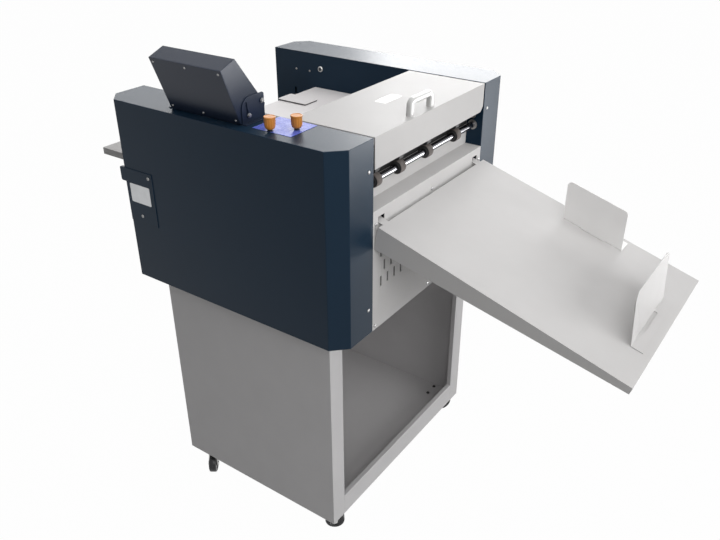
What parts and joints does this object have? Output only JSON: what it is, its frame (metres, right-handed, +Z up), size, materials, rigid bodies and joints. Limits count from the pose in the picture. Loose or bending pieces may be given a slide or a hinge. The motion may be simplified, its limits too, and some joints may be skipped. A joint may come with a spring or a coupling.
{
  "type": "paper creasing machine",
  "caption": "Floor-standing paper creasing machine on a caster cabinet, with lifting feed table, hinged top cover, tilting control screen, roller delivery and sloping tray.",
  "frame": {"origin": "on the floor, below the middle of the machine's length and width", "axes": "+X along the paper's way towards the delivery tray, +Y towards the drive side, away from the control screen, +Z up"},
  "size_m": [1.4262, 0.7154, 1.1914],
  "materials": {
    "black_plastic": "fine grain",
    "black_rubber": "matt",
    "blue_film": "gloss",
    "bronze": "sintered",
    "cabinet_enamel": "satin powder coat",
    "cast_metal": "die cast",
    "circuit_board": "solder mask",
    "grey_castor": "matt",
    "ground_steel": "ground and polished",
    "handle_grey": "satin",
    "light_enamel": "satin powder coat",
    "navy_enamel": "fine textured powder coat",
    "orange_plastic": "satin",
    "roller_rubber": "matt",
    "screen_glass": "gloss",
    "tool_steel": "hardened",
    "zinc_steel": "zinc plated"
  },
  "bodies": {
    "machine": {"cabinet_left_panel": "cabinet_enamel", "cabinet_right_panel": "cabinet_enamel", "cabinet_back_panel": "cabinet_enamel", "cabinet_floor": "cabinet_enamel", "caster_plates": "zinc_steel", "base_pan": "zinc_steel", "left_side_frame": "navy_enamel", "right_side_frame": "navy_enamel", "left_housing": "navy_enamel", "right_housing": "navy_enamel", "front_panel": "light_enamel", "delivery_guide": "light_enamel", "paper_bed": "light_enamel", "hold_down_plate": "light_enamel", "creaser_rear_panel": "light_enamel", "anvil_beam": "tool_steel", "shaft_bearings": "bronze", "drive_motors": "cast_metal", "crease_motor": "cast_metal", "control_board": "circuit_board", "power_inlet": "black_plastic", "knob_panel": "blue_film", "screen_brackets": "navy_enamel", "service_cover": "navy_enamel", "case_fasteners": "zinc_steel", "lift_rods": "ground_steel", "drive_belts": "black_rubber", "return_springs": "zinc_steel"},
    "cover": {"top_cover": "light_enamel", "cover_handle": "handle_grey"},
    "screen": {"screen_box": "navy_enamel", "screen_back_plate": "navy_enamel", "touch_screen": "screen_glass"},
    "knob_1": {"adjusting_knob_1": "orange_plastic"},
    "knob_2": {"adjusting_knob_2": "orange_plastic"},
    "delivery_drive": {"delivery_shaft": "ground_steel", "delivery_rollers": "roller_rubber"},
    "pinch_shaft": {"pinch_rollers": "roller_rubber"},
    "infeed_drive": {"infeed_roller": "roller_rubber"},
    "infeed_pinch": {"infeed_pinch_roller": "roller_rubber"},
    "feed_drive": {"feed_roller": "roller_rubber"},
    "motor_output": {"motor_pulley": "cast_metal"},
    "crease_drive": {"crease_shaft": "ground_steel"},
    "creasing_beam": {"crease_beam": "tool_steel", "crease_blade": "tool_steel"},
    "pile_table": {"feed_table": "light_enamel"},
    "lift_drive": {"lift_shaft": "ground_steel"},
    "tray": {"delivery_tray": "light_enamel"},
    "tray_side_guide": {"side_guide": "light_enamel"},
    "tray_end_stop": {"end_stop": "light_enamel"},
    "power_rocker": {"rocker_switch": "black_plastic"},
    "lock_cylinder": {"lock_plug": "ground_steel"},
    "front_left_caster": {"front_left_caster_fork": "zinc_steel"},
    "front_left_wheel": {"front_left_caster_wheel": "grey_castor"},
    "front_right_caster": {"front_right_caster_fork": "zinc_steel"},
    "front_right_wheel": {"front_right_caster_wheel": "grey_castor"},
    "rear_left_caster": {"rear_left_caster_fork": "zinc_steel"},
    "rear_left_wheel": {"rear_left_caster_wheel": "grey_castor"},
    "rear_right_caster": {"rear_right_caster_fork": "zinc_steel"},
    "rear_right_wheel": {"rear_right_caster_wheel": "grey_castor"}
  },
  "joints": [
    {"name": "front_left_swivel", "type": "hinge", "parent": "machine", "child": "front_left_caster", "pos_m": [0.05394, -0.27432, 0.0625], "axis": [0, 0, 1], "continuous": true},
    {"name": "front_left_roll", "type": "hinge", "parent": "front_left_caster", "child": "front_left_wheel", "pos_m": [0.07285, -0.25955, 0.025], "axis": [-0.6157, 0.788, 0], "continuous": true},
    {"name": "front_right_swivel", "type": "hinge", "parent": "machine", "child": "front_right_caster", "pos_m": [0.05394, 0.29368, 0.0625], "axis": [0, 0, 1], "continuous": true},
    {"name": "front_right_roll", "type": "hinge", "parent": "front_right_caster", "child": "front_right_wheel", "pos_m": [0.06594, 0.31446, 0.025], "axis": [-0.866, 0.5, 0], "continuous": true},
    {"name": "rear_left_swivel", "type": "hinge", "parent": "machine", "child": "rear_left_caster", "pos_m": [-0.34106, -0.27432, 0.0625], "axis": [0, 0, 1], "continuous": true},
    {"name": "rear_left_roll", "type": "hinge", "parent": "rear_left_caster", "child": "rear_left_wheel", "pos_m": [-0.3273, -0.29398, 0.025], "axis": [0.8192, 0.5736, 0], "continuous": true},
    {"name": "rear_right_swivel", "type": "hinge", "parent": "machine", "child": "rear_right_caster", "pos_m": [-0.34106, 0.29368, 0.0625], "axis": [0, 0, 1], "continuous": true},
    {"name": "rear_right_roll", "type": "hinge", "parent": "rear_right_caster", "child": "rear_right_wheel", "pos_m": [-0.31851, 0.30189, 0.025], "axis": [-0.342, 0.9397, 0], "continuous": true},
    {"name": "cover_hinge", "type": "hinge", "parent": "machine", "child": "cover", "pos_m": [-0.03106, 0.00968, 1.045], "axis": [0, -1, 0], "range_deg": [0, 80]},
    {"name": "screen_tilt", "type": "hinge", "parent": "machine", "child": "screen", "pos_m": [-0.19356, -0.25294, 1.09665], "axis": [-1, 0, 0], "range_deg": [0, 33]},
    {"name": "knob_1_turn", "type": "hinge", "parent": "machine", "child": "knob_1", "pos_m": [-0.02606, -0.30532, 1.059], "axis": [0, 0, 1], "continuous": true},
    {"name": "knob_2_turn", "type": "hinge", "parent": "machine", "child": "knob_2", "pos_m": [0.01144, -0.26932, 1.059], "axis": [0, 0, 1], "continuous": true},
    {"name": "delivery_spin", "type": "hinge", "parent": "machine", "child": "delivery_drive", "pos_m": [0.13544, 0.00968, 0.954], "axis": [0, 1, 0], "continuous": true},
    {"name": "pinch_spin", "type": "hinge", "parent": "machine", "child": "pinch_shaft", "pos_m": [0.13544, 0.00968, 0.9773], "axis": [0, 1, 0], "continuous": true},
    {"name": "infeed_spin", "type": "hinge", "parent": "machine", "child": "infeed_drive", "pos_m": [-0.01106, 0.00968, 0.954], "axis": [0, 1, 0], "continuous": true},
    {"name": "infeed_pinch_spin", "type": "hinge", "parent": "machine", "child": "infeed_pinch", "pos_m": [-0.01106, 0.00968, 0.9773], "axis": [0, 1, 0], "continuous": true},
    {"name": "feed_spin", "type": "hinge", "parent": "machine", "child": "feed_drive", "pos_m": [-0.31106, 0.00968, 0.954], "axis": [0, 1, 0], "continuous": true},
    {"name": "motor_spin", "type": "hinge", "parent": "machine", "child": "motor_output", "pos_m": [0.13544, 0.00968, 0.824], "axis": [0, 1, 0], "continuous": true},
    {"name": "crease_spin", "type": "hinge", "parent": "machine", "child": "crease_drive", "pos_m": [0.05894, 0.00968, 1.033], "axis": [0, 1, 0], "continuous": true},
    {"name": "crease_stroke", "type": "slide", "parent": "machine", "child": "creasing_beam", "axis": [0, 0, -1], "range_m": [0, 0.003], "stiffness_N_per_m": 5000, "springref_m": -0.01, "deforming": ["return_springs"]},
    {"name": "table_lift", "type": "slide", "parent": "machine", "child": "pile_table", "axis": [0, 0, 1], "range_m": [0, 0.104]},
    {"name": "lift_spin", "type": "hinge", "parent": "machine", "child": "lift_drive", "pos_m": [-0.37876, 0.00968, 0.815], "axis": [0, 1, 0], "range_deg": [0, 430]},
    {"name": "tray_lift", "type": "hinge", "parent": "machine", "child": "tray", "pos_m": [0.16094, 0.00968, 0.87515], "axis": [0, -1, 0], "range_deg": [0, 30]},
    {"name": "side_guide_slide", "type": "slide", "parent": "tray", "child": "tray_side_guide", "axis": [0, 1, 0], "range_m": [-0.12, 0.012]},
    {"name": "end_stop_slide", "type": "slide", "parent": "tray", "child": "tray_end_stop", "axis": [0.9565, 0, -0.2917], "range_m": [-0.08, 0.014]},
    {"name": "switch_rock", "type": "hinge", "parent": "machine", "child": "power_rocker", "pos_m": [-0.48556, -0.28032, 0.704], "axis": [0, 1, 0], "range_deg": [-8, 8]},
    {"name": "lock_turn", "type": "hinge", "parent": "machine", "child": "lock_cylinder", "pos_m": [-0.32706, 0.24368, 1.02], "axis": [0, 1, 0], "range_deg": [0, 90]}
  ],
  "couplings": [
    {"joint": "pinch_spin", "follows": "delivery_spin", "ratio": -1.875},
    {"joint": "infeed_spin", "follows": "delivery_spin", "ratio": 1},
    {"joint": "infeed_pinch_spin", "follows": "delivery_spin", "ratio": -1.875},
    {"joint": "feed_spin", "follows": "delivery_spin", "ratio": 1},
    {"joint": "motor_spin", "follows": "delivery_spin", "ratio": 1},
    {"joint": "lift_spin", "follows": "table_lift", "rad_per_m": 71.429}
  ]
}
